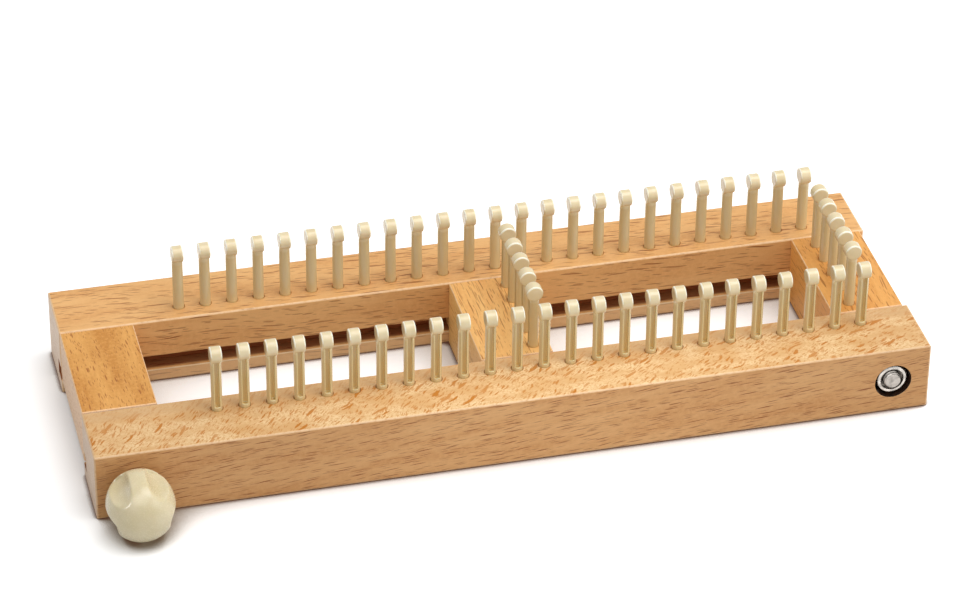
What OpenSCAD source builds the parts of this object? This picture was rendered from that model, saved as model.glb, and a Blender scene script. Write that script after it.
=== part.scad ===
// Adjustable peg loom for knitting socks: two grooved beech rails, a plain spacer block at the left,
// a sliding block and a fixed end block with pegs, 60 hooked pegs, a clamp knob and two through bolts.
// X runs along the rails, Y points to the back rail, Z points up and zero is the surface it stands on.

/* [Rails] */
// thickness of a rail from its inner to its outer face
rail_width = 26.5; // [23:0.1:31]
// height of a rail
rail_height = 25.4; // [23:0.1:30]
// distance between the inner faces of the rails
rail_gap = 49.2; // [46:0.1:57]
// radius of the eased long edges and of the left end of the rails
rail_ease = 0.8; // [0.5:0.1:1.5]
// radius of the softer edges of the right end, seen from the side
end_ease = 1.2; // [0.6:0.1:2]
// radius of the upright edges of the right end
end_round = 1; // [0.6:0.1:4]
// radius of the eased edges of the blocks
block_ease = 0.5; // [0.3:0.1:1]

/* [Guide groove] */
// height of the groove floor above the foot of the rail
groove_floor = 5.1; // [4.5:0.1:6]
// opening height of the groove
groove_height = 5.7; // [4.8:0.1:6.4]
// depth of the groove into the rail
groove_depth = 6; // [4.5:0.1:8]
// play of each tongue in its groove, on every side
tongue_play = 0.2; // [0.1:0.05:0.35]

/* [Pegs] */
// distance from peg to peg in every row
peg_pitch = 9.525; // [9.2:0.005:9.6]
// left end of the front rail to its first peg
front_first_peg = 45.3; // [43:0.1:47]
// left end of the back rail to its first peg
back_first_peg = 43.5; // [42:0.1:46]
// last peg of the front rail to the right end of the rails
last_peg_margin = 19.8; // [19:0.1:40]
// peg row of a rail to its inner face
peg_inset = 7.2; // [6:0.1:8]
// top of a peg above the wood
peg_height = 24.9; // [22:0.1:28]
// diameter of the round shaft
shaft_diameter = 3.8; // [3.4:0.1:4.2]
// diameter of the rounded head that lies along the row
head_diameter = 5.9; // [5:0.1:6.5]
// length of the head along the row
head_length = 4; // [4:0.1:5]
// radius of the eased rims of the head
head_ease = 0.45; // [0.2:0.05:0.6]
// width of the pick slot in the shaft
slot_width = 1.7; // [1.2:0.1:2]
// depth of the pick slot
slot_depth = 1.6; // [1:0.1:1.8]
// height above the wood at which the slot ends on its ledge
slot_ledge = 1.3; // [0.8:0.1:2]
// how far the slot runs into the underside of the head
slot_into_head = 0.3; // [0.2:0.05:0.6]
// length of the shank inside the wood
shank_depth = 9; // [7:0.5:10]
// radial play of a shank in its hole
peg_fit = 0.02; // [0.01:0.01:0.05]
// width of the broken rim round each peg hole
hole_rim = 0.35; // [0.2:0.05:0.5]

/* [Left end block] */
// left end of the rails to the block
left_block_inset = 0.2; // [0.1:0.1:3]
// width of the block along the rails
left_block_width = 25.9; // [22:0.1:28]
// open gap between the shoulders of the block and each rail
left_block_gap = 0.3; // [0.2:0.1:1.4]

/* [Sliding block] */
// left end of the rails to the left side of the slider in the rest pose
slider_place = 139.2; // [100:0.1:180]
// width of the slider along the rails
slider_width = 25.6; // [22:0.1:30]
// right side of the slider to its peg row
slider_peg_setback = 5.9; // [5:0.1:8]
// gap between the slider and the surface below the rails
slider_lift = 0.3; // [0.2:0.05:0.6]

/* [Right end block] */
// right end of the rails to the block
right_block_inset = 1.8; // [0.4:0.1:3]
// width of the block along the rails
right_block_width = 25.8; // [24:0.1:28]
// left side of the block to its peg row
end_peg_setback = 7.7; // [6:0.1:9]

/* [Bolts] */
// diameter of both bolts
bolt_diameter = 6.3; // [5:0.1:6.8]
// height of both bolts above the foot of the rails
bolt_height = 12.3; // [11.5:0.1:13.5]
// play of a bolt in the wood, all round
bolt_play = 0.25; // [0.15:0.05:0.4]
// left end of the rails to the clamp bolt
clamp_bolt_place = 13.4; // [12:0.1:15]
// right end of the rails to the end bolt
end_bolt_place = 13.3; // [13:0.1:15]
// diameter of the recess for a bolt head or a nut
recess_diameter = 13.3; // [12.9:0.1:14]
// depth of the recess for a bolt head in the back rail
head_recess_depth = 6; // [5.5:0.1:8]
// diameter of a bolt head
bolt_head_diameter = 10; // [9:0.1:11.5]
// height of a bolt head
bolt_head_height = 3.6; // [3:0.1:4]
// hexagon socket in the bolt head, across the flats
socket_width = 4; // [3:0.1:4.5]
// depth of the hexagon socket
socket_depth = 2.2; // [1.5:0.1:2.6]
// broken edge round the top of a bolt head
head_edge_ease = 0.4; // [0.2:0.1:0.8]
// broken edge at the tip of a bolt
bolt_tip_ease = 0.6; // [0.3:0.1:1]
// diameter of the washers
washer_diameter = 12; // [11:0.1:12.4]
// thickness of the washers
washer_thickness = 1.3; // [0.8:0.1:1.6]

/* [Lock nut] */
// width of the nut across its flats
nut_flats = 11.1; // [10:0.1:11.3]
// height of the nut with its round collar
nut_height = 7.9; // [6.5:0.1:9]
// height of the round collar that faces the front
collar_height = 2.8; // [2:0.1:3.5]
// radius of the collar's rolled rim
collar_round = 0.7; // [0.4:0.1:1]
// depth of the collar below the face of the front rail
nut_sink = 1.25; // [0.8:0.05:1.6]
// diameter of the open mouth in the collar
nut_mouth_diameter = 8.4; // [7.6:0.1:8.8]
// depth of the open mouth
nut_mouth_depth = 2.4; // [1.5:0.1:3]
// how far the end bolt's tip stands back from the face of the front rail
bolt_sink = 0; // [0:0.1:1]

/* [Knob] */
// diameter of the knob where it is widest
knob_diameter = 23.3; // [22:0.1:24.6]
// length of the knob from its back to its front
knob_length = 19.7; // [18:0.1:21]
// back of the knob to its widest place
knob_widest = 7.6; // [6.5:0.1:8.6]
// fullness of the ball form, 2 for an ellipse and more for a squarer outline
knob_fullness = 2.3; // [2:0.05:2.6]
// front face of the rail to the back of the knob
knob_standoff = 4.1; // [3.6:0.1:6]
// diameter of the hub behind the knob
hub_diameter = 10.6; // [10.2:0.1:12]
// number of flutes round the knob
knob_flutes = 5; // [3:1:6]
// radius of each flute
flute_radius = 6.4; // [5.5:0.1:8]
// distance from the knob axis to the bottom of each flute
flute_floor = 9.3; // [8.8:0.1:10]
// thickness of the full rim behind the flutes
knob_rim = 0.7; // [0.4:0.1:1.2]
// angle of the first flute in the rest pose
flute_angle = 57.5; // [0:0.5:90]
// outer diameter of the threaded insert
insert_diameter = 8.6; // [8.4:0.1:9]
// length of the threaded insert
insert_length = 14; // [10:0.1:15]
// room between the tip of the clamp bolt and the end of the thread
tip_room = 1.5; // [0.5:0.1:4]
// play between bolt and thread, all round
thread_play = 0.1; // [0.08:0.01:0.1]
// play between bolt and washers, all round
washer_play = 0.2; // [0.1:0.05:0.3]

/* [Hidden] */
pegs_in_group = 5;
pegs_across = 5;
rail_pegs = 25;
round_faces = 48;
hexagon = 6;
half_turn = 180;
quarter_turn = 90;
outline_steps = 24;
full_turn = 360;
cut_over = 1;
head_flank = 0.02;
rail_length = front_first_peg + (rail_pegs - 1) * peg_pitch + last_peg_margin;
left_end = -rail_length / 2;
right_end = rail_length / 2;
// the middle of the gap sits behind the origin, because the knob reaches forward
knob_reach = knob_standoff + knob_length;
gap_middle = knob_reach / 2;
front_inner = gap_middle - rail_gap / 2;
back_inner = gap_middle + rail_gap / 2;
front_outer = front_inner - rail_width;
back_outer = back_inner + rail_width;
front_row = front_inner - peg_inset;
back_row = back_inner + peg_inset;
groove_top = groove_floor + groove_height;
tongue_reach = groove_depth - tongue_play;
left_block_left = left_end + left_block_inset;
slider_left = left_end + slider_place;
slider_row = slider_left + slider_width - slider_peg_setback;
right_block_left = right_end - right_block_inset - right_block_width;
end_row = right_block_left + end_peg_setback;
clamp_bolt_x = left_end + clamp_bolt_place;
end_bolt_x = right_end - end_bolt_place;
bolt_hole = bolt_diameter + 2 * bolt_play;
head_seat = back_outer - head_recess_depth;
head_back = head_seat + washer_thickness;
rim_plane = front_outer - knob_standoff;
hub_length = knob_standoff - washer_thickness;
insert_hole = insert_diameter;
clamp_bolt_end = front_outer - washer_thickness - insert_length + tip_room;
nut_face = front_outer + nut_sink;
end_bolt_end = front_outer + bolt_sink;
beech = [0.86, 0.66, 0.45];
ivory = [0.88, 0.83, 0.68];
steel = [0.72, 0.71, 0.69];
brass = [0.78, 0.62, 0.33];

// outline of a rectangle, its corners rounded by r1 at the left and by r2 at the right
module round_rect(l, w, r1, r2) {
    translate([r1, 0])
        square([l - r1 - r2, w]);
    translate([0, r1])
        square([l / 2, w - 2 * r1]);
    translate([l / 2, r2])
        square([l / 2, w - 2 * r2]);
    for (y = [r1, w - r1])
        translate([r1, y])
            circle(r = r1, $fn = round_faces);
    for (y = [r2, w - r2])
        translate([l - r2, y])
            circle(r = r2, $fn = round_faces);
}

// a block with its edges eased by r, but by side and plan at the right end
module eased_block(l, w, h, r, side, plan) {
    intersection() {
        rotate([quarter_turn, 0, quarter_turn])
            linear_extrude(l)
                round_rect(w, h, r, r);
        linear_extrude(h)
            round_rect(l, w, r, plan);
        translate([0, w, 0])
            rotate([quarter_turn, 0, 0])
                linear_extrude(w)
                    round_rect(l, h, r, side);
    }
}

// a cylinder along Y from y0 to y1 at the height of the bolts
module along_y(x, y0, y1, d) {
    translate([x, y1, bolt_height])
        rotate([quarter_turn, 0, 0])
            cylinder(d = d, h = y1 - y0, $fn = round_faces);
}

// the blind hole of one peg with its broken rim
module peg_hole(depth) {
    d = shaft_diameter + 2 * peg_fit;
    translate([0, 0, -depth])
        cylinder(d = d, h = depth + cut_over, $fn = round_faces);
    translate([0, 0, -hole_rim])
        cylinder(d1 = d, d2 = d + 2 * hole_rim + 2 * head_flank, h = hole_rim + head_flank, $fn = round_faces);
}

// one peg standing at the origin, its head along X and its slot towards minus Y
module peg() {
    r = head_diameter / 2;
    neck_drop = sqrt(pow(r, 2) - pow(shaft_diameter / 2, 2));
    slot_top = peg_height - r - neck_drop + slot_into_head;
    difference() {
        union() {
            translate([0, 0, -shank_depth])
                cylinder(d = shaft_diameter, h = shank_depth + peg_height - r, $fn = round_faces);
            translate([-head_length / 2, 0, peg_height - r])
                rotate([quarter_turn, 0, quarter_turn])
                    rotate_extrude($fn = round_faces)
                        head_outline(r);
        }
        translate([-slot_width / 2, -shaft_diameter, slot_ledge])
            cube([slot_width, shaft_diameter / 2 + slot_depth, slot_top - slot_ledge]);
    }
}

// half outline of the head about its axis, its rims rounded in two steps
module head_outline(r) {
    near = head_ease * (1 - cos(quarter_turn / 2));
    polygon([[0, 0], [r - head_ease, 0], [r - near, near], [r, head_ease], [r, head_length - head_ease],
        [r - near, head_length - near], [r - head_ease, head_length], [0, head_length]]);
}

module rail_blank() {
    difference() {
        translate([left_end, 0, 0])
            eased_block(rail_length, rail_width, rail_height, rail_ease, end_ease, end_round);
        translate([left_end - cut_over, -cut_over, groove_floor])
            cube([rail_length + 2 * cut_over, groove_depth + cut_over, groove_height]);
    }
}

module rail_holes(first_x, row_y) {
    for (i = [0 : rail_pegs - 1])
        translate([left_end + first_x + i * peg_pitch, row_y, rail_height])
            peg_hole(shank_depth);
}

module front_rail() {
    color(beech)
        difference() {
            translate([0, front_inner, 0])
                mirror([0, 1, 0])
                    rail_blank();
            rail_holes(front_first_peg, front_row);
            along_y(clamp_bolt_x, front_outer - cut_over, front_inner + cut_over, bolt_hole);
            along_y(end_bolt_x, front_outer - cut_over, front_inner + cut_over, bolt_hole);
            along_y(end_bolt_x, front_outer - cut_over, nut_face + nut_height, recess_diameter);
        }
}

module back_rail() {
    color(beech)
        difference() {
            translate([0, back_inner, 0])
                rail_blank();
            rail_holes(back_first_peg, back_row);
            for (x = [clamp_bolt_x, end_bolt_x]) {
                along_y(x, back_inner - cut_over, back_outer + cut_over, bolt_hole);
                along_y(x, head_seat, back_outer + cut_over, recess_diameter);
            }
        }
}

// a cross block between the rails with a tongue at each end
module cross_block(x, w, gap, foot, drop) {
    translate([x, front_inner + gap, foot])
        eased_block(w, rail_gap - 2 * gap, rail_height - foot, block_ease, block_ease, block_ease);
    translate([x + block_ease, front_inner - tongue_reach, groove_floor + drop])
        cube([w - 2 * block_ease, rail_gap + 2 * tongue_reach, groove_height - drop - tongue_play]);
}

module left_end_block() {
    color(beech)
        difference() {
            cross_block(left_block_left, left_block_width, left_block_gap, groove_floor, 0);
            along_y(clamp_bolt_x, front_inner - groove_depth, back_inner + groove_depth, bolt_hole);
        }
}

module cross_peg_holes(x) {
    for (i = [0 : pegs_across - 1])
        translate([x, cross_peg_y(i), rail_height])
            peg_hole(shank_depth);
}

module slider_block() {
    color(beech)
        difference() {
            cross_block(slider_left, slider_width, tongue_play, slider_lift, tongue_play);
            cross_peg_holes(slider_row);
        }
}

module right_end_block() {
    color(beech)
        difference() {
            cross_block(right_block_left, right_block_width, 0, 0, 0);
            cross_peg_holes(end_row);
            along_y(end_bolt_x, front_inner - groove_depth, back_inner + groove_depth, bolt_hole);
        }
}

function cross_peg_y(i) = gap_middle + ((pegs_across - 1) / 2 - i) * peg_pitch;

// five pegs of a rail, turned so that their slots face outwards
module rail_pegs_group(first_x, row_y, group, turn) {
    color(ivory)
        for (i = [0 : pegs_in_group - 1])
            translate([left_end + first_x + (group * pegs_in_group + i) * peg_pitch, row_y, rail_height])
                rotate([0, 0, turn])
                    peg();
}

module cross_peg(x, i, turn) {
    color(ivory)
        translate([x, cross_peg_y(i), rail_height])
            rotate([0, 0, turn])
                peg();
}

// a bolt along Y with its socket head at the back and an eased tip at the front
module bolt(x, tip) {
    r = bolt_diameter / 2;
    head_r = bolt_head_diameter / 2;
    shank = head_back - tip;
    over_all = shank + bolt_head_height;
    color(steel)
        translate([x, tip, bolt_height])
            rotate([-quarter_turn, 0, 0])
                difference() {
                    rotate_extrude($fn = round_faces)
                        polygon([[0, 0], [r - bolt_tip_ease, 0], [r, bolt_tip_ease], [r, shank], [head_r, shank],
                            [head_r, over_all - head_edge_ease], [head_r - head_edge_ease, over_all],
                            [0, over_all]]);
                    translate([0, 0, over_all - socket_depth])
                        cylinder(d = socket_width / cos(half_turn / hexagon), h = socket_depth + cut_over,
                            $fn = hexagon);
                }
}

// a washer along Y whose face nearer the back lies at y1
module washer(x, y1) {
    color(steel)
        difference() {
            along_y(x, y1 - washer_thickness, y1, washer_diameter);
            along_y(x, y1 - washer_thickness - cut_over, y1 + cut_over, bolt_diameter + 2 * washer_play);
        }
}

module clamp_bolt() {
    bolt(clamp_bolt_x, clamp_bolt_end);
}

module clamp_head_washer() {
    washer(clamp_bolt_x, head_back);
}

module clamp_knob_washer() {
    washer(clamp_bolt_x, front_outer);
}

// half outline of the knob about its axis, from its back to its front
module knob_outline() {
    r = knob_diameter / 2;
    reach = knob_length - knob_widest;
    back = asin(pow(knob_widest / reach, knob_fullness / 2));
    curve = [for (i = [0 : outline_steps - 1])
        let (a = -back + i * (back + quarter_turn) / outline_steps)
            [r * pow(cos(a), 2 / knob_fullness),
                knob_widest + sign(a) * reach * pow(abs(sin(a)), 2 / knob_fullness)]];
    polygon(concat([[0, 0]], curve, [[0, knob_length]]));
}

module knob() {
    color(ivory)
        translate([clamp_bolt_x, rim_plane, bolt_height])
            rotate([quarter_turn, 0, 0])
                difference() {
                    union() {
                        rotate_extrude($fn = round_faces)
                            knob_outline();
                        translate([0, 0, -hub_length])
                            cylinder(d = hub_diameter, h = hub_length + cut_over, $fn = round_faces);
                    }
                    for (i = [0 : knob_flutes - 1])
                        rotate([0, 0, flute_angle + i * full_turn / knob_flutes])
                            translate([flute_floor + flute_radius, 0, knob_rim])
                                cylinder(r = flute_radius, h = knob_length, $fn = round_faces);
                    translate([0, 0, -hub_length - cut_over])
                        cylinder(d = insert_hole, h = insert_length + cut_over, $fn = round_faces);
                }
}

module knob_insert() {
    color(brass)
        difference() {
            along_y(clamp_bolt_x, front_outer - washer_thickness - insert_length,
                front_outer - washer_thickness, insert_diameter);
            along_y(clamp_bolt_x, front_outer - washer_thickness - insert_length - cut_over,
                front_outer - washer_thickness + cut_over, bolt_diameter + 2 * thread_play);
        }
}

module end_bolt() {
    bolt(end_bolt_x, end_bolt_end);
}

module end_head_washer() {
    washer(end_bolt_x, head_back);
}

// the nut's hexagon sits in the bottom of the recess, its collar faces the front
module lock_nut() {
    r = nut_flats / 2;
    color(steel)
        translate([end_bolt_x, nut_face, bolt_height])
            rotate([-quarter_turn, 0, 0])
                difference() {
                    union() {
                        rotate_extrude($fn = round_faces)
                            collar_outline(r);
                        translate([0, 0, collar_height])
                            cylinder(d = nut_flats / cos(half_turn / hexagon), h = nut_height - collar_height,
                                $fn = hexagon);
                    }
                    translate([0, 0, -cut_over])
                        cylinder(d = nut_mouth_diameter, h = nut_mouth_depth + cut_over, $fn = round_faces);
                    cylinder(r = bolt_diameter / 2 + thread_play, h = nut_height + cut_over, $fn = round_faces);
                }
}

// half outline of the collar, its rim rolled inwards
module collar_outline(r) {
    translate([0, collar_round])
        square([r, collar_height]);
    square([r - collar_round, collar_height]);
    translate([r - collar_round, collar_round])
        circle(r = collar_round, $fn = round_faces);
}

front_rail();
back_rail();
left_end_block();
slider_block();
right_end_block();
rail_pegs_group(front_first_peg, front_row, 0, 0);  // front_pegs_01_05
rail_pegs_group(front_first_peg, front_row, 1, 0);  // front_pegs_06_10
rail_pegs_group(front_first_peg, front_row, 2, 0);  // front_pegs_11_15
rail_pegs_group(front_first_peg, front_row, 3, 0);  // front_pegs_16_20
rail_pegs_group(front_first_peg, front_row, 4, 0);  // front_pegs_21_25
rail_pegs_group(back_first_peg, back_row, 0, half_turn);  // back_pegs_01_05
rail_pegs_group(back_first_peg, back_row, 1, half_turn);  // back_pegs_06_10
rail_pegs_group(back_first_peg, back_row, 2, half_turn);  // back_pegs_11_15
rail_pegs_group(back_first_peg, back_row, 3, half_turn);  // back_pegs_16_20
rail_pegs_group(back_first_peg, back_row, 4, half_turn);  // back_pegs_21_25
cross_peg(slider_row, 0, -quarter_turn);  // slider_peg_1
cross_peg(slider_row, 1, -quarter_turn);  // slider_peg_2
cross_peg(slider_row, 2, -quarter_turn);  // slider_peg_3
cross_peg(slider_row, 3, -quarter_turn);  // slider_peg_4
cross_peg(slider_row, 4, -quarter_turn);  // slider_peg_5
cross_peg(end_row, 0, quarter_turn);  // end_peg_1
cross_peg(end_row, 1, quarter_turn);  // end_peg_2
cross_peg(end_row, 2, quarter_turn);  // end_peg_3
cross_peg(end_row, 3, quarter_turn);  // end_peg_4
cross_peg(end_row, 4, quarter_turn);  // end_peg_5
clamp_bolt();
clamp_head_washer();
clamp_knob_washer();
knob();
knob_insert();
end_bolt();
end_head_washer();
lock_nut();
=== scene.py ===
"""Looks of the sock knitting loom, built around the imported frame: beech, ivory pegs and knob, plated steel."""

import math

import bmesh
import bpy
from mathutils import Matrix, Vector


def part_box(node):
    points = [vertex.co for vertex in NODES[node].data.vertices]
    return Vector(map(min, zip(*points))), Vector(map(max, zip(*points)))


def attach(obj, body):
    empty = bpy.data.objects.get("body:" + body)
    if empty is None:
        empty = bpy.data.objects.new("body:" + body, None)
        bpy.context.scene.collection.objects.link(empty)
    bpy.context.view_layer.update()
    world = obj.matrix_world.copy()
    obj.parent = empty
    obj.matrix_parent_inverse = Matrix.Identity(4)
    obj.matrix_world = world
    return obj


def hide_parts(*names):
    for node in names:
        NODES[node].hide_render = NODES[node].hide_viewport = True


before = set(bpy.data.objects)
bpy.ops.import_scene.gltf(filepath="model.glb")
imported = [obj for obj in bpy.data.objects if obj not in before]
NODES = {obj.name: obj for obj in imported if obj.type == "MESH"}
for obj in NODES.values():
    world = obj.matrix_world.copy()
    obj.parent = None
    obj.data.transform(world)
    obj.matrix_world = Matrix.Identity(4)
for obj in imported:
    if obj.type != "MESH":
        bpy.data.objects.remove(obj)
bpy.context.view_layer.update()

# the photograph's frame and the view that was fitted to it
IMAGE_WIDTH, IMAGE_HEIGHT = 970, 600
SENSOR = 36.0
LENS = 150.15
VIEW_YAW = math.radians(14.018)
VIEW_DROP = math.radians(33.95)
VIEW_ROLL = math.radians(0.558)
VIEW_TARGET = Vector((0.00166, 0.02047, 0.02734))
VIEW_DISTANCE = 1.4219


def linear(red, green, blue):
    """A colour given as it shows on screen, from 0 to 255, turned into the linear one that shaders take."""
    def channel(value):
        value /= 255.0
        return value / 12.92 if value <= 0.04045 else ((value + 0.055) / 1.055) ** 2.4
    return channel(red), channel(green), channel(blue), 1.0


class Graph:
    """A material's node tree, with short ways to add and join its nodes."""

    def __init__(self, name):
        self.material = bpy.data.materials.new(name)
        self.material.use_nodes = True
        self.tree = self.material.node_tree
        self.shader = self.tree.nodes["Principled BSDF"]
        self.output = self.tree.nodes["Material Output"]

    def add(self, kind, settings=None, **inputs):
        """A node of that kind. Inputs are named as on the node, with _ for a space, or in0, in1 by place."""
        node = self.tree.nodes.new(kind)
        for key, value in (settings or {}).items():
            setattr(node, key, value)
        for key, value in inputs.items():
            if key.startswith("in") and key[2:].isdigit():
                self.put(node.inputs[int(key[2:])], value)
            else:
                self.put(node.inputs[key.replace("_", " ")], value)
        return node

    def put(self, socket, value):
        if isinstance(value, bpy.types.NodeSocket):
            self.tree.links.new(value, socket)
        else:
            socket.default_value = value

    def math(self, operation, first, second=0.0, third=0.0):
        node = self.add("ShaderNodeMath", {"operation": operation}, in0=first, in1=second, in2=third)
        return node.outputs[0]

    def scaled(self, value, factor, offset=0.0):
        return self.math("MULTIPLY_ADD", value, factor, offset)

    def vector(self, x, y, z):
        return self.add("ShaderNodeCombineXYZ", None, X=x, Y=y, Z=z).outputs[0]

    def split(self, vector):
        node = self.add("ShaderNodeSeparateXYZ", None, Vector=vector)
        return node.outputs[0], node.outputs[1], node.outputs[2]

    def noise(self, vector, scale=1.0, detail=2.0, roughness=0.5, distortion=0.0):
        node = self.add("ShaderNodeTexNoise", None, Vector=vector, Scale=scale, Detail=detail,
                        Roughness=roughness, Distortion=distortion)
        return node.outputs["Fac"]

    def cells(self, vector, exponent=2.0):
        """Flat cells: the distance to the middle of the nearest one, and three random values of its own."""
        settings = {"voronoi_dimensions": "2D", "distance": "MINKOWSKI"}
        node = self.add("ShaderNodeTexVoronoi", settings, Vector=vector, Scale=1.0, Exponent=exponent)
        return node.outputs["Distance"], self.split(node.outputs["Color"])

    def ramp(self, value, low, high, out_low=0.0, out_high=1.0):
        """A smooth step from out_low at low to out_high at high."""
        node = self.add("ShaderNodeMapRange", {"interpolation_type": "SMOOTHSTEP"}, Value=value, From_Min=low,
                        From_Max=high, To_Min=out_low, To_Max=out_high)
        return node.outputs[0]

    def mix(self, amount, first, second, blend="MIX"):
        node = self.add("ShaderNodeMix", {"data_type": "RGBA", "blend_type": blend})
        self.put(node.inputs[0], amount)
        self.put(node.inputs[6], first)
        self.put(node.inputs[7], second)
        return node.outputs[2]

    def bump(self, height, distance, strength=1.0, normal=None):
        node = self.add("ShaderNodeBump", None, Height=height, Distance=distance, Strength=strength)
        if normal is not None:
            self.put(node.inputs["Normal"], normal)
        return node.outputs[0]


# beech

MM = 1000.0
GAP_MIDDLE, GAP_HALF = 11.9, 36.0
GROOVE_LOW, GROOVE_HIGH, GROOVE_DEPTH = 5.0, 10.9, 5.9
RIM_REACH = 2.45
ROW_REACH, BLOCK_REACH = 135.0, 23.0


def dashes(g, along, across, pitch, rows, low, high, share, seed):
    """Tapered dashes along the grain. pitch and rows are the spacing of their places in mm along and across it, low and
    high the least and greatest half length as a share of pitch, and share says how many of the places hold a dash."""
    row = g.scaled(across, 1.0 / rows, 1.37 * seed)
    place = g.vector(g.math("ADD", g.scaled(along, 1.0 / pitch, seed), g.scaled(row, 0.31)), row, 0.0)
    distance, tint = g.cells(place, 1.4)
    size = g.scaled(tint[2], high - low, low)
    spot = g.ramp(g.math("SUBTRACT", distance, size), 0.03, -0.06)
    kept = g.math("LESS_THAN", tint[0], share)
    return g.math("MULTIPLY", spot, g.math("MULTIPLY", kept, g.scaled(tint[1], 0.55, 0.45)))


def flecks(g, x, y, pitch, rows, low, high, share, seed):
    """Ragged flecks that lean from the lower left to the upper right and lie flatter towards the right end."""
    sway = g.noise(g.vector(g.scaled(x, 0.05, seed), g.scaled(y, 0.08), 0.0), 1.0, 2.0)
    ragged = g.noise(g.vector(g.scaled(x, 1.0, seed), g.scaled(y, 1.0), 0.0), 1.0, 3.0, 0.6)
    lean = g.math("MULTIPLY", x, g.scaled(x, -0.0009, 0.62))
    across = g.math("SUBTRACT", g.scaled(y, 0.62), lean)
    across = g.math("ADD", across, g.math("ADD", g.scaled(sway, 7.0), g.scaled(ragged, 0.7)))
    along = g.math("ADD", g.scaled(x, 0.62), g.math("ADD", g.scaled(y, 0.78), g.scaled(ragged, -0.8)))
    place = g.vector(g.scaled(along, 1.0 / pitch, seed), g.scaled(across, 1.0 / rows, 1.7 * seed), 0.0)
    distance, tint = g.cells(place, 1.7)
    edge = g.math("ADD", distance, g.scaled(ragged, 0.2, -0.1))
    size = g.scaled(tint[2], high - low, low)
    spot = g.ramp(g.math("SUBTRACT", edge, size), 0.02, -0.06)
    kept = g.math("LESS_THAN", tint[0], share)
    return g.math("MULTIPLY", spot, g.math("MULTIPLY", kept, g.scaled(tint[1], 0.35, 0.65)))


def fleck_top(g, x, y, light, dark, fleck, grey, row):
    """A pale top full of ochre flecks, greyer and finely lined behind the row of pegs at y = row."""
    patch = g.noise(g.vector(g.scaled(x, 0.05), g.scaled(y, 0.12), 5.0), 1.0, 3.0, 0.6)
    speck = g.noise(g.vector(g.scaled(x, 1.1), g.scaled(y, 1.5), 9.0), 1.0, 3.0, 0.75)
    line = g.noise(g.vector(g.scaled(x, 0.12), g.scaled(y, 1.5), 21.0), 1.0, 3.0, 0.6)
    plain = g.mix(g.ramp(patch, 0.35, 0.65), light, dark)
    plain = g.mix(g.ramp(speck, 0.45, 0.62, 0.0, 0.95), plain, dark)
    behind = g.ramp(y, row - 1.0, row + 2.5)
    plain = g.mix(g.scaled(behind, 0.6), plain, grey)
    plain = g.mix(g.math("MULTIPLY", behind, g.ramp(line, 0.45, 0.65, 0.0, 0.55)), plain, dark)
    spots = g.math("MAXIMUM", flecks(g, x, y, 9.5, 1.75, 0.14, 0.4, 0.32, 3.3),
                   g.scaled(flecks(g, x, y, 4.8, 0.85, 0.14, 0.42, 0.44, 31.7), 0.9))
    spots = g.math("MAXIMUM", spots, g.scaled(flecks(g, x, y, 2.4, 0.5, 0.18, 0.44, 0.5, 57.1), 0.6))
    return g.mix(g.math("MULTIPLY", spots, g.scaled(behind, -0.55, 1.0)), plain, fleck)


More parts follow.
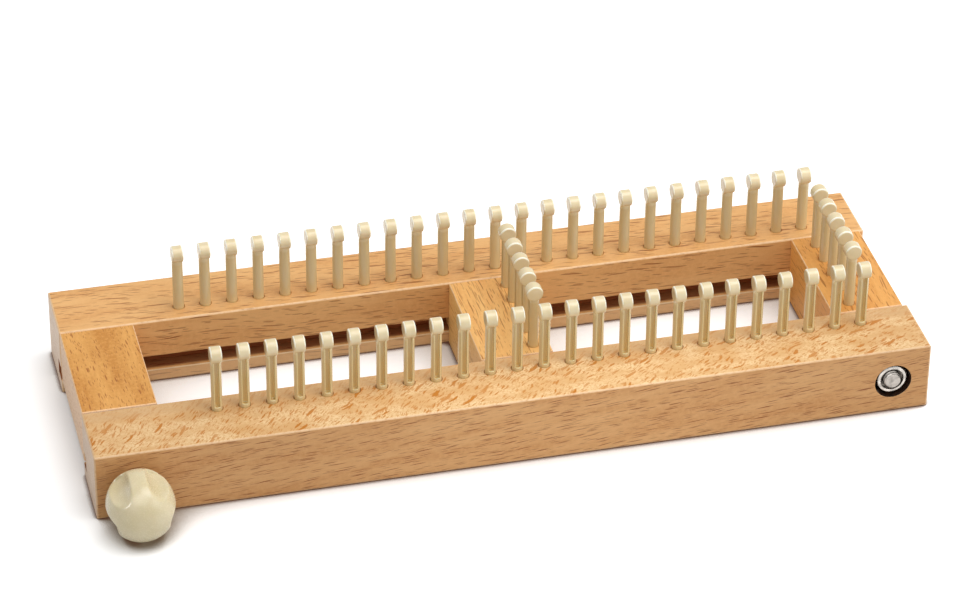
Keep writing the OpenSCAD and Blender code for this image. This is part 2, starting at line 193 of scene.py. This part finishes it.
def beech(name, grain, light, dark, dash, slope=0.0, cut=45.0, layers=(), depth=0.85, top=None, side=None, bores=(),
          row=None, groove=None, ends=0.0, seed=0.0):
    """Beech. grain is "X" or "Y", slope the angle at which the grain climbs along the stock, and cut the angle between
    the year rings and the top face. layers gives each layer of dashes. top, where given, makes the colour of the top.
    side is the colour of the faces along X on stock whose grain runs along Y, partly their grain and partly painted
    light that makes them lighter. bores are x, z, radius and the two ends in mm of holes along Y whose insides are
    painted dark as shade. row is the axis that a row of pegs crosses, and its place there; the rims of its holes are
    painted darker as shade round the foot of each peg.
    groove is 1 or -1 for a groove that opens towards the gap from that side, and how far out its mouth lies. ends is
    how much the colour deepens towards both ends."""
    g = Graph(name)
    x, y, z = g.split(g.add("ShaderNodeTexCoord").outputs["Object"])
    nx, ny, nz = g.split(g.add("ShaderNodeTexCoord").outputs["Normal"])
    x, y, z = g.scaled(x, MM), g.scaled(y, MM), g.scaled(z, MM)
    along, across = (x, y) if grain == "X" else (y, x)
    rise, run = math.sin(math.radians(slope)), math.cos(math.radians(slope))
    level = g.math("ADD", g.scaled(z, run), g.scaled(along, -rise))
    along = g.math("ADD", g.scaled(along, run, seed), g.scaled(z, rise))
    tilt = math.radians(cut)
    fine = g.math("ADD", g.scaled(level, math.cos(tilt)), g.scaled(across, math.sin(tilt), seed))
    wander = g.noise(g.vector(g.scaled(along, 0.03), g.scaled(fine, 0.08), 0.0), 1.0, 2.0)
    fine = g.math("ADD", fine, g.scaled(wander, 3.0))
    cloud = g.noise(g.vector(g.scaled(along, 0.02), g.scaled(fine, 0.16), 0.0), 1.0, 3.0, 0.55)
    band = g.noise(g.vector(g.scaled(along, 0.012), g.scaled(fine, 0.6), 3.0), 1.0, 3.0, 0.6)
    streak = g.noise(g.vector(g.scaled(along, 0.16), g.scaled(fine, 1.6), 5.0), 1.0, 2.0, 0.6)
    fibre = g.noise(g.vector(g.scaled(along, 0.5), g.scaled(fine, 5.0), 7.0), 1.0, 3.0, 0.6)
    mottle = g.noise(g.vector(g.scaled(x, 0.75), g.scaled(y, 0.75), g.scaled(z, 0.75)), 1.0, 4.0, 0.65)
    colour = g.mix(g.ramp(cloud, 0.32, 0.68), light, dark)
    colour = g.mix(g.ramp(band, 0.42, 0.7, 0.0, 0.3), colour, dark)
    colour = g.mix(g.ramp(streak, 0.45, 0.68, 0.0, 0.12), colour, dash)
    colour = g.mix(g.ramp(fibre, 0.42, 0.72, 0.0, 0.3), colour, dark)
    colour = g.mix(g.ramp(mottle, 0.42, 0.66, 0.0, 0.4), colour, light)
    marks = dashes(g, along, fine, *layers[0], seed + 2.0)
    for count, layer in enumerate(layers[1:], 1):
        marks = g.math("MAXIMUM", marks, g.scaled(dashes(g, along, fine, *layer, seed + 19.0 * count), 0.8))
    if top is not None:
        upward = g.ramp(nz, 0.5, 0.8)
        colour = g.mix(upward, colour, top(g, x, y))
        marks = g.math("MULTIPLY", marks, g.scaled(upward, -1.0, 1.0))
    if side is not None:
        # the faces along X take the side colour, partly their grain and partly painted light that makes them lighter
        sideways = g.ramp(g.math("ABSOLUTE", nx), 0.75, 0.95)
        side = g.mix(g.ramp(fibre, 0.42, 0.72, 0.0, 0.4), side, dark)
        colour = g.mix(g.scaled(sideways, 0.85), colour, side)
        marks = g.math("MULTIPLY", marks, g.scaled(sideways, -0.35, 1.0))
    colour = g.mix(g.scaled(marks, depth), colour, dash)
    # the end-grain faces are dotted with pores and rings, and painted pale as light falling on them
    end_face = g.ramp(g.math("ABSOLUTE", nx if grain == "X" else ny), 0.75, 0.95)
    pores = g.noise(g.vector(g.scaled(across, 3.5), g.scaled(z, 3.5), 0.0), 1.0, 2.0)
    ring = g.noise(g.vector(g.scaled(across, 0.15), g.scaled(z, 1.1), 0.0), 1.0, 2.0)
    end_grain_and_light = g.mix(g.ramp(pores, 0.35, 0.65), linear(250, 230, 208), linear(232, 200, 170))
    end_grain_and_light = g.mix(g.ramp(ring, 0.4, 0.65, 0.0, 0.35), end_grain_and_light, linear(206, 158, 118))
    colour = g.mix(end_face, colour, end_grain_and_light)
    # edges rubbed pale, and painted with a pale highlight along them
    flat = g.math("MAXIMUM", g.math("ABSOLUTE", nx), g.math("MAXIMUM", g.math("ABSOLUTE", ny), g.math("ABSOLUTE", nz)))
    wear_and_highlight = g.math("MULTIPLY", g.ramp(flat, 0.985, 0.9), g.ramp(mottle, 0.3, 0.6, 0.45, 0.85))
    # painted shade inside the guide groove, a little less on its upward floor
    if groove is not None:
        inwards = g.math("MULTIPLY", y, groove[0])
        beyond = g.math("MULTIPLY", g.ramp(inwards, groove[1], groove[1] + 1.5),
                        g.math("LESS_THAN", inwards, groove[1] + GROOVE_DEPTH))
        between = g.math("MULTIPLY", g.math("GREATER_THAN", z, GROOVE_LOW), g.math("LESS_THAN", z, GROOVE_HIGH))
        ledge = g.ramp(nz, 0.5, 0.8, 0.8, 0.7)
        colour = g.mix(g.math("MULTIPLY", g.math("MULTIPLY", beyond, between), ledge), colour, linear(122, 44, 14))
        # painted highlight along the groove's lower lip
        below = g.math("MULTIPLY", g.math("LESS_THAN", z, GROOVE_LOW), g.math("GREATER_THAN", inwards, groove[1] - 1.0))
        below = g.math("MULTIPLY", below, g.math("LESS_THAN", inwards, groove[1]))
        lip_highlight = g.ramp(z, GROOVE_LOW - 0.7, GROOVE_LOW - 0.3, 0.3, 1.0)
        colour = g.mix(g.math("MULTIPLY", below, lip_highlight), colour, linear(255, 228, 186))
    # painted shade on the rims of the peg holes, round the foot of each peg
    if row is not None:
        across_row = g.math("ABSOLUTE", g.scaled(x if row[0] == "X" else y, 1.0, -row[1]))
        lengthways = g.math("ABSOLUTE", x if row[0] == "Y" else g.scaled(y, 1.0, -GAP_MIDDLE))
        painted_rim = g.math("MULTIPLY", g.math("LESS_THAN", across_row, RIM_REACH), g.math("LESS_THAN", flat, 0.97))
        painted_rim = g.math("MULTIPLY", painted_rim, g.math("LESS_THAN", lengthways, ROW_REACH if row[0] == "Y" else BLOCK_REACH))
        wear_and_highlight = g.math("MULTIPLY", wear_and_highlight, g.scaled(painted_rim, -1.0, 1.0))
        colour = g.mix(g.scaled(painted_rim, 0.45), colour, dash)
    # painted shade inside the bores
    for bore_x, bore_z, radius, y_low, y_high in bores:
        off = g.vector(g.scaled(x, 1.0, -bore_x), 0.0, g.scaled(z, 1.0, -bore_z))
        reach = g.add("ShaderNodeVectorMath", {"operation": "LENGTH"}, in0=off).outputs["Value"]
        inside = g.math("MULTIPLY", g.math("LESS_THAN", reach, radius), g.math("GREATER_THAN", y, y_low))
        inside = g.math("MULTIPLY", inside, g.math("LESS_THAN", y, y_high))
        bore_shade = g.mix(g.ramp(mottle, 0.4, 0.62), linear(34, 22, 15), linear(74, 44, 26))
        wear_and_highlight = g.math("MULTIPLY", wear_and_highlight, g.scaled(inside, -1.0, 1.0))
        colour = g.mix(inside, colour, bore_shade)
    # the rubbed wear and the painted edge highlight go on last
    colour = g.mix(wear_and_highlight, colour, linear(250, 214, 170))
    if ends:
        outwards = g.ramp(g.math("ABSOLUTE", g.scaled(x, 1.0, -20.0)), 20.0, 130.0, 0.0, ends)
        colour = g.mix(outwards, colour, (0.8, 0.77, 0.74, 1.0), "MULTIPLY")
    g.put(g.shader.inputs["Base Color"], colour)
    g.put(g.shader.inputs["Roughness"], g.ramp(fibre, 0.3, 0.7, 0.42, 0.56))
    g.shader.inputs["Specular IOR Level"].default_value = 0.3
    height = g.math("SUBTRACT", g.scaled(fibre, 0.5), g.scaled(marks, 0.8))
    g.put(g.shader.inputs["Normal"], g.bump(height, 0.0001, 0.6))
    return g.material


def plastic(name, colour, shade, roughness, shaded_shaft=None, rim_highlight=None, slot_shade=None, row=None, edge=None, flute_shade=None):
    """Moulded ivory plastic with slight cloudiness and a soft moulded skin. shaded_shaft is a height in metres and the
    warmer colour painted below it as shade and light bounced up from the wood, slot_shade the colour painted as shade
    inside its slots, and edge the share and the colour of a painted highlight along its sharp edges. row is the place
    in a normal of the axis along which the heads lie, whose upper rims take the painted highlight rim_highlight.
    flute_shade is the colour painted as shade in wide hollows."""
    g = Graph(name)
    place = g.add("ShaderNodeTexCoord").outputs["Object"]
    cloud = g.noise(place, 140.0, 3.0)
    skin = g.noise(place, 2600.0, 2.0)
    tone = g.mix(g.ramp(cloud, 0.3, 0.7), colour, shade)
    # painted shade and bounced light: the shaft goes warmer and deeper below the head
    if shaded_shaft is not None:
        height, shaft_shade = shaded_shaft
        tone = g.mix(g.ramp(g.split(place)[2], height, height - 0.0012, 0.0, 0.8), tone, shaft_shade)
    g.put(g.shader.inputs["Roughness"], g.ramp(skin, 0.3, 0.7, roughness, roughness + 0.07))
    g.shader.inputs["Subsurface Weight"].default_value = 0.12
    g.shader.inputs["Subsurface Radius"].default_value = (0.003, 0.002, 0.001)
    g.shader.inputs["Subsurface Scale"].default_value = 0.6
    round_edge = None
    # painted shade in the slots and at the foot, by ambient occlusion
    if slot_shade is not None:
        open_share = g.add("ShaderNodeAmbientOcclusion", {"samples": 8}, Distance=0.0018).outputs["AO"]
        tone = g.mix(g.ramp(open_share, 0.7, 0.4, 0.0, 0.75), tone, slot_shade)
    # painted shade in the knob's flutes, by ambient occlusion
    if flute_shade is not None:
        settings = {"samples": 12, "only_local": True}
        open_share = g.add("ShaderNodeAmbientOcclusion", settings, Distance=0.008).outputs["AO"]
        tone = g.mix(g.ramp(open_share, 1.0, 0.75, 0.0, 0.6), tone, flute_shade)
    # painted highlights: along the sharp edges, found by the rounded normal, and on the upper rims of the heads
    if rim_highlight is not None:
        round_edge = g.add("ShaderNodeBevel", {"samples": 8}, Radius=0.00058).outputs[0]
        flat = g.add("ShaderNodeNewGeometry").outputs["Normal"]
        turned = g.add("ShaderNodeVectorMath", {"operation": "DOT_PRODUCT"}, in0=round_edge, in1=flat).outputs["Value"]
        tone = g.mix(g.ramp(turned, 0.995, 0.9, 0.0, edge[0]), tone, edge[1])
        normal = g.split(g.add("ShaderNodeTexCoord").outputs["Normal"])
        facing = g.math("ABSOLUTE", normal[row])
        painted_rim = g.math("MULTIPLY", g.ramp(facing, 0.1, 0.35), g.ramp(facing, 0.985, 0.93))
        tone = g.mix(g.math("MULTIPLY", painted_rim, g.ramp(normal[2], 0.05, 0.35)), tone, rim_highlight)
    g.put(g.shader.inputs["Base Color"], tone)
    g.put(g.shader.inputs["Normal"], g.bump(skin, 0.00001, 0.3, round_edge))
    return g.material


def metal(name, colour, roughness, mouth=None):
    """Turned or plated metal with fine scratches and small dull patches. mouth is x, z and the radius in mm of a hole
    along Y whose inside is painted dark as shade."""
    g = Graph(name)
    place = g.add("ShaderNodeTexCoord").outputs["Object"]
    scratch = g.noise(place, 1800.0, 3.0)
    patch = g.noise(place, 420.0, 2.0)
    dull = tuple(c * 0.62 for c in colour[:3]) + (1.0,)
    tone = g.mix(g.ramp(patch, 0.38, 0.66), colour, dull)
    if mouth is not None:
        # painted shade inside the mouth
        x, _, z = g.split(place)
        off = g.vector(g.scaled(x, MM, -mouth[0]), 0.0, g.scaled(z, MM, -mouth[1]))
        reach = g.add("ShaderNodeVectorMath", {"operation": "LENGTH"}, in0=off).outputs["Value"]
        tone = g.mix(g.ramp(reach, mouth[2], mouth[2] - 0.15, 0.0, 0.85), tone, linear(40, 34, 30))
    g.shader.inputs["Metallic"].default_value = 1.0
    g.put(g.shader.inputs["Base Color"], tone)
    g.put(g.shader.inputs["Roughness"], g.ramp(scratch, 0.3, 0.7, roughness, roughness + 0.14))
    round_edge = g.add("ShaderNodeBevel", {"samples": 4}, Radius=0.00025).outputs[0]
    g.put(g.shader.inputs["Normal"], g.bump(scratch, 0.00004, 0.4, round_edge))
    return g.material


def dress(names, material):
    for name in names:
        node = NODES[name]
        node.data.materials.clear()
        node.data.materials.append(material)


def front_top(g, x, y):
    return fleck_top(g, x, y, linear(254, 220, 168), linear(232, 184, 124), linear(206, 128, 36), linear(222, 180, 130),
                     FRONT_ROW)


FRONT_ROW, BACK_ROW, SLIDER_ROW, END_ROW = -19.9, 43.7, 12.05, 126.95
FRONT_BORE = (133.55, 12.3, 6.9, -39.05, -12.0)
BACK_BORES = ((133.55, 12.3, 6.9, 40.0, 62.85), (-133.45, 12.3, 6.9, 40.0, 62.85))
FRONT_RAIL = beech("beech_front_rail", "X", linear(236, 184, 126), linear(218, 160, 102), linear(128, 50, 4), slope=5.5, depth=1.0,
                   cut=0.0, layers=((18.0, 0.85, 0.11, 0.2, 0.9), (11.0, 0.6, 0.11, 0.2, 0.75)), top=front_top,
                   bores=(FRONT_BORE,), row=("Y", FRONT_ROW), groove=(-1.0, 12.9), ends=0.75, seed=11.3)
BACK_RAIL = beech("beech_back_rail", "X", linear(240, 188, 124), linear(226, 168, 104), linear(148, 82, 34), slope=-1.0,
                  layers=((13.0, 0.62, 0.16, 0.44, 0.36), (6.0, 0.5, 0.14, 0.4, 0.25)), bores=BACK_BORES,
                  row=("Y", BACK_ROW), groove=(1.0, 36.8), seed=47.6)
LEFT_BLOCK = beech("beech_left_block", "Y", linear(236, 176, 98), linear(204, 138, 62), linear(160, 88, 34),
                   layers=((4.6, 0.5, 0.16, 0.4, 0.24), (2.6, 0.36, 0.14, 0.38, 0.3)), side=linear(244, 210, 176),
                   seed=83.2)
SLIDER = beech("beech_slider", "Y", linear(250, 200, 126), linear(236, 174, 100), linear(166, 100, 46),
               layers=((12.0, 0.5, 0.16, 0.44, 0.42), (5.0, 0.46, 0.15, 0.4, 0.3)), side=linear(255, 210, 132),
               row=("X", SLIDER_ROW), seed=129.4)
RIGHT_BLOCK = beech("beech_right_block", "Y", linear(240, 178, 100), linear(218, 150, 74), linear(160, 94, 40),
                    layers=((12.0, 0.7, 0.16, 0.44, 0.4), (5.0, 0.5, 0.15, 0.4, 0.3)), side=linear(255, 190, 106),
                    row=("X", END_ROW), seed=171.7)
# peg ivory with painted shade on the shafts and in the slots, and painted highlights on the edges and head rims
RAIL_PEG, BLOCK_PEG = (
    plastic(name, linear(234, 218, 180), linear(226, 208, 166), 0.16, (0.0444, linear(218, 196, 146)),
            linear(255, 250, 230), linear(244, 212, 138), row, (edge, linear(255, 238, 182)))
    for name, row, edge in (("ivory_pegs_along_x", 0, 1.0), ("ivory_pegs_along_y", 1, 0.2)))
# knob ivory with painted shade in the flutes
KNOB = plastic("ivory_knob", linear(228, 214, 178), linear(220, 205, 164), 0.22, flute_shade=linear(196, 180, 136))
STEEL = metal("plated_steel", linear(206, 200, 192), 0.26)
BOLT_STEEL = metal("bolt_steel", linear(178, 172, 165), 0.3)
# the lock nut's mouth is painted dark as shade
NUT_STEEL = metal("nut_steel", linear(214, 208, 200), 0.22, (133.55, 12.3, 4.15))
BRASS = metal("turned_brass", linear(206, 170, 98), 0.26)

dress(["front_rail"], FRONT_RAIL)
dress(["back_rail"], BACK_RAIL)
dress(["left_end_block"], LEFT_BLOCK)
dress(["slider_block"], SLIDER)
dress(["right_end_block"], RIGHT_BLOCK)
dress([name for name in NODES if "_pegs_" in name], RAIL_PEG)
dress([name for name in NODES if "_peg_" in name], BLOCK_PEG)
dress(["knob"], KNOB)
dress(["knob_insert"], BRASS)
dress(["clamp_bolt", "end_bolt"], BOLT_STEEL)
dress(["lock_nut"], NUT_STEEL)
dress(["clamp_head_washer", "clamp_knob_washer", "end_head_washer"], STEEL)


# the knob and the bolts, in more detail than the solids, all in mm

KNOB_RADIUS = 11.65
KNOB_LENGTH = 19.7
KNOB_WIDEST = 7.6
KNOB_FULLNESS = 2.3
KNOB_REACH = KNOB_LENGTH - KNOB_WIDEST
KNOB_BROKEN_EDGE = 0.25
HUB_RADIUS, HUB_LENGTH = 5.3, 2.8
INSERT_RADIUS, INSERT_LENGTH = 4.3, 14.0
FLUTES, FLUTE_ANGLE = 5, math.radians(57.5)
FLUTE_RADIUS, FLUTE_CENTRE = 6.4, 15.7
FLUTE_START, FLUTE_FULL = 0.5, 1.0
FLUTE_BLEND = 0.9
BOLT_RADIUS = 3.15
BOLT_TIP_EASE = 0.6
HEAD_RADIUS, HEAD_HEIGHT, HEAD_EASE = 5.0, 3.6, 0.4
SOCKET_FLAT, SOCKET_DEPTH, SOCKET_POINT = 2.0, 2.2, 0.5
THREAD_PITCH, THREAD_DEPTH, THREAD_LENGTH = 1.27, 0.5, 14.0


def smooth(value):
    value = min(max(value, 0.0), 1.0)
    return value * value * (3.0 - 2.0 * value)


def soft_least(first, second, blend):
    near = max(blend - abs(first - second), 0.0) / blend
    return min(first, second) - near * near * blend / 4.0


def revolved(name, x, z, rings, count, material):
    """A closed mesh about an axis along Y at x and z. A ring is the height of a point on the axis, or a function that
    turns an angle into the height and the radius, all in mm."""
    shape = bmesh.new()
    loops = []
    for ring in rings:
        if callable(ring):
            loop = []
            for i in range(count):
                angle = 2.0 * math.pi * i / count
                height, radius = ring(angle)
                loop.append(shape.verts.new(((x + radius * math.cos(angle)) / MM, height / MM,
                                             (z + radius * math.sin(angle)) / MM)))
        else:
            loop = [shape.verts.new((x / MM, ring / MM, z / MM))]
        loops.append(loop)
    for first, second in zip(loops, loops[1:]):
        for i in range(count):
            j = (i + 1) % count
            if len(first) == 1:
                shape.faces.new((first[0], second[i], second[j]))
            elif len(second) == 1:
                shape.faces.new((first[i], second[0], first[j]))
            else:
                shape.faces.new((first[i], second[i], second[j], first[j]))
    bmesh.ops.recalc_face_normals(shape, faces=shape.faces)
    mesh = bpy.data.meshes.new(name)
    shape.to_mesh(mesh)
    shape.free()
    mesh.shade_smooth()
    mesh.set_sharp_from_angle(angle=math.radians(38.0))
    mesh.materials.append(material)
    piece = bpy.data.objects.new(name, mesh)
    bpy.context.scene.collection.objects.link(piece)
    return piece


def plain_ring(height, radius):
    return lambda angle: (height, radius)


def knob_radius(along, angle):
    """The knob's radius at that distance from its back, with its flutes run softly into the ball form."""
    ball = KNOB_RADIUS * (1.0 - (abs(along - KNOB_WIDEST) / KNOB_REACH) ** KNOB_FULLNESS) ** (1.0 / KNOB_FULLNESS)
    step = 2.0 * math.pi / FLUTES
    off = (angle - FLUTE_ANGLE + step / 2.0) % step - step / 2.0
    sideways = FLUTE_CENTRE * math.sin(off)
    if abs(sideways) >= FLUTE_RADIUS:
        return ball
    flute = FLUTE_CENTRE * math.cos(off) - math.sqrt(FLUTE_RADIUS ** 2 - sideways ** 2)
    depth = smooth((along - FLUTE_START) / (FLUTE_FULL - FLUTE_START))
    return ball + depth * (soft_least(ball, flute, FLUTE_BLEND) - ball)


def knob_piece():
    low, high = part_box("knob_insert")
    x, z = (low.x + high.x) / 2.0 * MM, (low.z + high.z) / 2.0 * MM
    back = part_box("knob")[0].y * MM + KNOB_LENGTH
    first = math.asin((KNOB_WIDEST / KNOB_REACH) ** (KNOB_FULLNESS / 2.0))
    steps = 84
    rings = [back - KNOB_LENGTH]
    for i in range(1, steps):
        angle = math.pi / 2.0 - i * (math.pi / 2.0 + first) / steps
        bulge = KNOB_REACH * abs(math.sin(angle)) ** (2.0 / KNOB_FULLNESS)
        along = KNOB_WIDEST + math.copysign(bulge, angle)
        if along > KNOB_BROKEN_EDGE:
            rings.append(lambda turn, along=along: (back - along, knob_radius(along, turn)))
    edge = knob_radius(0.0, 0.0)
    rings += [plain_ring(back - KNOB_BROKEN_EDGE, knob_radius(KNOB_BROKEN_EDGE, 0.0)),
              plain_ring(back, edge - KNOB_BROKEN_EDGE), plain_ring(back, HUB_RADIUS),
              plain_ring(back + HUB_LENGTH, HUB_RADIUS), plain_ring(back + HUB_LENGTH, INSERT_RADIUS),
              plain_ring(back + HUB_LENGTH - INSERT_LENGTH, INSERT_RADIUS), back + HUB_LENGTH - INSERT_LENGTH]
    knob = revolved("clamp_knob_piece", x, z, rings, 300, KNOB)
    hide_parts("knob")
    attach(knob, "clamp_knob")


def bolt_piece(node):
    """A bolt whose thread is cut at the tip, with a hexagon socket in its head."""
    low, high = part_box(node)
    x, z = (low.x + high.x) / 2.0 * MM, (low.z + high.z) / 2.0 * MM
    tip, top = low.y * MM, high.y * MM
    seat = top - HEAD_HEIGHT

    def thread(along):
        def ring(angle):
            turn = (along / THREAD_PITCH + angle / (2.0 * math.pi)) % 1.0
            groove = min(1.25 * abs(2.0 * turn - 1.0), 1.0)
            fade = smooth((THREAD_LENGTH - along) / THREAD_PITCH)
            radius = BOLT_RADIUS - THREAD_DEPTH * (1.0 - groove) * fade
            return tip + along, min(radius, BOLT_RADIUS - BOLT_TIP_EASE + along)
        return ring

    def hexagon(height):
        def ring(angle):
            sixth = math.pi / 3.0
            off = (angle + sixth / 2.0) % sixth - sixth / 2.0
            return height, SOCKET_FLAT / math.cos(off)
        return ring

    turns = 12
    rings = [tip] + [thread(i * THREAD_PITCH / turns) for i in range(int(turns * THREAD_LENGTH / THREAD_PITCH) + 2)]
    rings += [plain_ring(seat, BOLT_RADIUS), plain_ring(seat, HEAD_RADIUS), plain_ring(top - HEAD_EASE, HEAD_RADIUS),
              plain_ring(top, HEAD_RADIUS - HEAD_EASE), hexagon(top), hexagon(top - SOCKET_DEPTH),
              plain_ring(top - SOCKET_DEPTH, SOCKET_FLAT * 0.8), top - SOCKET_DEPTH - SOCKET_POINT]
    bolt = revolved(node + "_piece", x, z, rings, 72, BOLT_STEEL)
    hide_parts(node)
    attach(bolt, "frame")


knob_piece()
bolt_piece("clamp_bolt")
bolt_piece("end_bolt")


# floor, light and camera

def stage_floor():
    mesh = bpy.data.meshes.new("floor")
    half = 4.0
    mesh.from_pydata([(-half, -half, 0), (half, -half, 0), (half, half, 0), (-half, half, 0)], [], [(0, 1, 2, 3)])
    floor = bpy.data.objects.new("floor", mesh)
    bpy.context.scene.collection.objects.link(floor)
    g = Graph("floor")
    place = g.split(g.add("ShaderNodeTexCoord").outputs["Object"])
    ray = g.add("ShaderNodeLightPath")
    seen = g.math("MAXIMUM", ray.outputs["Is Camera Ray"],
                  g.math("MAXIMUM", ray.outputs["Is Glossy Ray"], ray.outputs["Is Transmission Ray"]))
    plain = g.add("ShaderNodeBsdfDiffuse", None, Color=(0.55, 0.55, 0.55, 1.0)).outputs[0]
    # painted shadow on the floor: darker near the loom by ambient occlusion, milder in the gap, and a dark line where
    # parts touch it
    near = g.add("ShaderNodeAmbientOcclusion", {"samples": 16}, Distance=0.05).outputs["AO"]
    touching = g.add("ShaderNodeAmbientOcclusion", {"samples": 12}, Distance=0.003).outputs["AO"]
    in_gap = g.math("LESS_THAN", g.math("ABSOLUTE", g.scaled(place[1], MM, -GAP_MIDDLE)), GAP_HALF)
    floor_shadow = g.mix(in_gap, (0.2, 0.15, 0.1, 1.0), (0.62, 0.58, 0.54, 1.0))
    shadowed_ground = g.mix(g.ramp(near, 0.28, 0.66), floor_shadow, (1.0, 1.0, 1.0, 1.0))
    shadowed_ground = g.mix(g.ramp(touching, 0.4, 0.85), (0.14, 0.07, 0.04, 1.0), shadowed_ground)
    shaded = g.add("ShaderNodeBsdfDiffuse", None, Color=shadowed_ground).outputs[0]
    glow = g.add("ShaderNodeEmission", None, Color=shadowed_ground, Strength=0.3).outputs[0]
    lit = g.add("ShaderNodeAddShader", None, in0=shaded, in1=glow).outputs[0]
    both = g.add("ShaderNodeMixShader", None, in0=seen, in1=plain, in2=lit).outputs[0]
    g.put(g.output.inputs["Surface"], both)
    mesh.materials.append(g.material)


def world_light(strength):
    world = bpy.data.worlds.new("studio")
    bpy.context.scene.world = world
    world.use_nodes = True
    tree = world.node_tree
    ray = tree.nodes.new("ShaderNodeLightPath")
    seen = tree.nodes.new("ShaderNodeMath")
    seen.operation = "MAXIMUM"
    tree.links.new(ray.outputs["Is Camera Ray"], seen.inputs[0])
    tree.links.new(ray.outputs["Is Transmission Ray"], seen.inputs[1])
    level = tree.nodes.new("ShaderNodeMapRange")
    tree.links.new(seen.outputs[0], level.inputs["Value"])
    level.inputs["To Min"].default_value = strength
    level.inputs["To Max"].default_value = 1.0
    background = tree.nodes["Background"]
    background.inputs["Color"].default_value = (1.0, 1.0, 1.0, 1.0)
    tree.links.new(level.outputs[0], background.inputs["Strength"])


def area_light(name, place, aim, size, watts, glossy_only=False):
    lamp = bpy.data.lights.new(name, "AREA")
    lamp.shape = "DISK"
    lamp.size = size
    lamp.energy = watts
    light = bpy.data.objects.new(name, lamp)
    light.visible_diffuse = not glossy_only
    light.location = place
    light.rotation_euler = (Vector(aim) - Vector(place)).to_track_quat("-Z", "Y").to_euler()
    bpy.context.scene.collection.objects.link(light)


def photo_camera():
    yaw = Matrix.Rotation(-VIEW_YAW, 4, "Z")
    tip = Matrix.Rotation(math.pi / 2 - VIEW_DROP, 4, "X")
    roll = Matrix.Rotation(VIEW_ROLL, 4, "Z")
    turn = yaw @ tip @ roll
    forward = turn.to_3x3() @ Vector((0, 0, -1))
    camera = bpy.data.cameras.new("photo_view")
    camera.sensor_width = SENSOR
    camera.lens = LENS
    camera.clip_end = 20.0
    view = bpy.data.objects.new("photo_view", camera)
    view.matrix_world = Matrix.Translation(VIEW_TARGET - VIEW_DISTANCE * forward) @ turn
    bpy.context.scene.collection.objects.link(view)
    bpy.context.scene.camera = view


stage_floor()
world_light(0.6)
area_light("key", (0.3, -0.05, 1.1), (0.0, 0.0, 0.0), 0.8, 6.2)
area_light("fill", (0.9, -0.9, 0.6), (0.0, 0.0, 0.0), 0.9, 4.0)
area_light("glint", (-0.25, -0.75, 1.15), (0.0, 0.0, 0.0), 1.1, 6.5, glossy_only=True)
area_light("side_glint", (-0.84, -0.3, 0.5), (-0.133, -0.055, 0.012), 0.15, 1.8, glossy_only=True)
photo_camera()
bpy.context.scene.view_settings.view_transform = "Standard"
